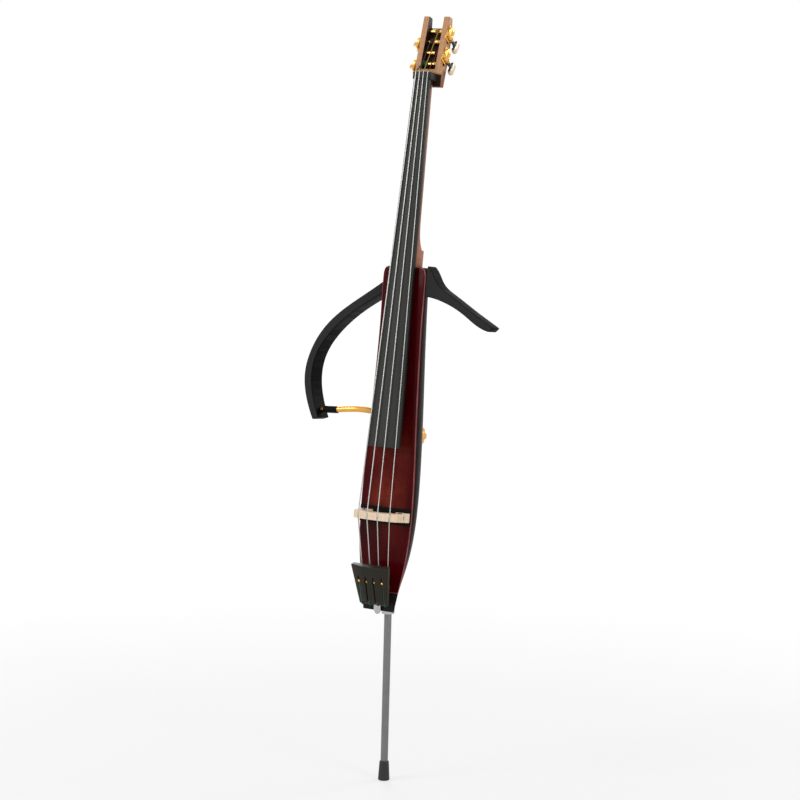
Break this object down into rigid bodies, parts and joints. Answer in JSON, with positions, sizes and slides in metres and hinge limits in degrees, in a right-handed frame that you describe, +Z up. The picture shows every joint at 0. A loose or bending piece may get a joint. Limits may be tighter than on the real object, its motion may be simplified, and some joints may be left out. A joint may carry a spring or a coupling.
{
  "type": "double bass",
  "caption": "Slim electric upright bass: long fingerboard, narrow glossy hollow body, detachable side frames, arched bridge, geared tuners and a sliding endpin.",
  "frame": {"origin": "centre of the flat bottom of the rubber foot", "axes": "+Z up along the endpin, -Y the way the strings face, +X to the right as seen from the front"},
  "size_m": [0.507, 0.301, 1.8499],
  "materials": {
    "burgundy_wood": "high gloss, transparent burgundy",
    "black_wood": "satin black",
    "neck_maple": "satin, tan",
    "ebony": "satin, oiled",
    "bridge_maple": "bare, pale",
    "gold_metal": "polished gold",
    "key_cream": "gloss",
    "string_steel": "wound",
    "steel": "satin",
    "endpin_grey": "satin, mid grey",
    "dark_metal": "satin black",
    "foot_rubber": "matte",
    "frame_wood": "satin, near black",
    "black_plastic": "satin",
    "jack_metal": "polished",
    "piezo_brass": "bare",
    "circuit_green": "gloss",
    "battery_case": "gloss"
  },
  "bodies": {
    "root": {"battery": "battery_case", "battery_box": "black_plastic", "bridge_feet": "bridge_maple", "clamp_boss": "gold_metal", "control_plate": "black_plastic", "end_block": "black_wood", "endpin_collar": "dark_metal", "endpin_sleeve": "steel", "fingerboard": "ebony", "headphone_jack": "jack_metal", "headstock": "neck_maple", "hull": "burgundy_wood", "neck": "neck_maple", "nut": "black_wood", "output_jack": "jack_metal", "panel_screws": "steel", "pickup_base": "black_plastic", "pickup_lead": "foot_rubber", "piezo_discs": "piezo_brass", "preamp_board": "circuit_green", "string_a": "string_steel", "string_balls": "gold_metal", "string_d": "string_steel", "string_e": "string_steel", "string_g": "string_steel", "tailpiece": "ebony", "tailpiece_posts": "gold_metal", "top_plate": "burgundy_wood", "truss_rod": "steel", "tuner_plates": "gold_metal", "tuner_screws": "gold_metal"},
    "endpin": {"endpin_tube": "endpin_grey", "endpin_foot": "foot_rubber"},
    "thumbscrew": {"endpin_thumbscrew": "steel"},
    "key_e": {"tuner_worm_e": "gold_metal", "tuner_key_e": "key_cream"},
    "post_e": {"tuner_post_e": "gold_metal"},
    "key_g": {"tuner_worm_g": "gold_metal", "tuner_key_g": "key_cream"},
    "post_g": {"tuner_post_g": "gold_metal"},
    "key_a": {"tuner_worm_a": "gold_metal", "tuner_key_a": "key_cream"},
    "post_a": {"tuner_post_a": "gold_metal"},
    "key_d": {"tuner_worm_d": "gold_metal", "tuner_key_d": "key_cream"},
    "post_d": {"tuner_post_d": "gold_metal"},
    "bridge_top": {"bridge_crown": "bridge_maple"},
    "wheel_left": {"bridge_wheel_left": "gold_metal"},
    "wheel_right": {"bridge_wheel_right": "gold_metal"},
    "side_frame": {"left_frame": "frame_wood", "left_frame_pins": "steel", "brace_bar": "gold_metal", "brace_ferrule": "black_plastic"},
    "shoulder_frame": {"right_frame": "frame_wood", "right_frame_pins": "steel"},
    "clamp": {"clamp_knob": "gold_metal"},
    "dial_volume": {"knob_volume": "black_plastic"},
    "dial_treble": {"knob_treble": "black_plastic"},
    "dial_bass": {"knob_bass": "black_plastic"},
    "door": {"battery_door": "black_plastic"}
  },
  "joints": [
    {"name": "endpin_slide", "type": "slide", "parent": "root", "child": "endpin", "axis": [0, 0, 1], "range_m": [0, 0.2]},
    {"name": "thumbscrew_turn", "type": "hinge", "parent": "root", "child": "thumbscrew", "pos_m": [0, -0.054, 0.4385], "axis": [0, -1, 0], "range_deg": [0, 270]},
    {"name": "key_turn_e", "type": "hinge", "parent": "root", "child": "key_e", "pos_m": [-0.0409, 0.12772, 1.72308], "axis": [0, 0.788, -0.6157], "continuous": true},
    {"name": "post_turn_e", "type": "hinge", "parent": "root", "child": "post_e", "pos_m": [0, 0.13751, 1.73561], "axis": [1, 0, 0], "continuous": true},
    {"name": "key_turn_g", "type": "hinge", "parent": "root", "child": "key_g", "pos_m": [0.0409, 0.13628, 1.74974], "axis": [0, 0.788, -0.6157], "continuous": true},
    {"name": "post_turn_g", "type": "hinge", "parent": "root", "child": "post_g", "pos_m": [0, 0.14607, 1.76227], "axis": [1, 0, 0], "continuous": true},
    {"name": "key_turn_a", "type": "hinge", "parent": "root", "child": "key_a", "pos_m": [-0.0409, 0.14484, 1.7764], "axis": [0, 0.788, -0.6157], "continuous": true},
    {"name": "post_turn_a", "type": "hinge", "parent": "root", "child": "post_a", "pos_m": [0, 0.15463, 1.78893], "axis": [1, 0, 0], "continuous": true},
    {"name": "key_turn_d", "type": "hinge", "parent": "root", "child": "key_d", "pos_m": [0.0409, 0.15279, 1.80116], "axis": [0, 0.788, -0.6157], "continuous": true},
    {"name": "post_turn_d", "type": "hinge", "parent": "root", "child": "post_d", "pos_m": [0, 0.16257, 1.81369], "axis": [1, 0, 0], "continuous": true},
    {"name": "bridge_lift", "type": "slide", "parent": "root", "child": "bridge_top", "axis": [0, -0.9947, 0.1028], "range_m": [-0.004, 0]},
    {"name": "wheel_turn_left", "type": "hinge", "parent": "root", "child": "wheel_left", "pos_m": [-0.05, -0.04543, 0.66161], "axis": [0, -0.9947, 0.1028], "range_deg": [-1160, 10]},
    {"name": "wheel_turn_right", "type": "hinge", "parent": "root", "child": "wheel_right", "pos_m": [0.05, -0.04543, 0.66161], "axis": [0, -0.9947, 0.1028], "range_deg": [-1160, 10]},
    {"name": "side_frame_off", "type": "slide", "parent": "root", "child": "side_frame", "axis": [-1, 0, 0], "range_m": [0, 0.08]},
    {"name": "shoulder_frame_off", "type": "slide", "parent": "root", "child": "shoulder_frame", "axis": [1, 0, 0], "range_m": [0, 0.06]},
    {"name": "clamp_turn", "type": "hinge", "parent": "root", "child": "clamp", "pos_m": [0, 0.09087, 0.83996], "axis": [0, -0.9947, 0.1028], "range_deg": [0, 360]},
    {"name": "volume_turn", "type": "hinge", "parent": "root", "child": "dial_volume", "pos_m": [0, 0.0865, 0.93876], "axis": [0, 0.9947, -0.1028], "range_deg": [-150, 150]},
    {"name": "treble_turn", "type": "hinge", "parent": "root", "child": "dial_treble", "pos_m": [0, 0.0894, 0.96679], "axis": [0, 0.9947, -0.1028], "range_deg": [-150, 150]},
    {"name": "bass_turn", "type": "hinge", "parent": "root", "child": "dial_bass", "pos_m": [0, 0.0923, 0.99483], "axis": [0, 0.9947, -0.1028], "range_deg": [-150, 150]},
    {"name": "battery_door_off", "type": "slide", "parent": "root", "child": "door", "axis": [0, 0.9947, -0.1028], "range_m": [0, 0.03]}
  ],
  "couplings": [
    {"joint": "post_turn_e", "follows": "key_turn_e", "ratio": 0.05},
    {"joint": "post_turn_g", "follows": "key_turn_g", "ratio": 0.05},
    {"joint": "post_turn_a", "follows": "key_turn_a", "ratio": 0.05},
    {"joint": "post_turn_d", "follows": "key_turn_d", "ratio": 0.05},
    {"joint": "wheel_turn_left", "follows": "bridge_lift", "rad_per_m": 5026.5},
    {"joint": "wheel_turn_right", "follows": "bridge_lift", "rad_per_m": 5026.5}
  ]
}
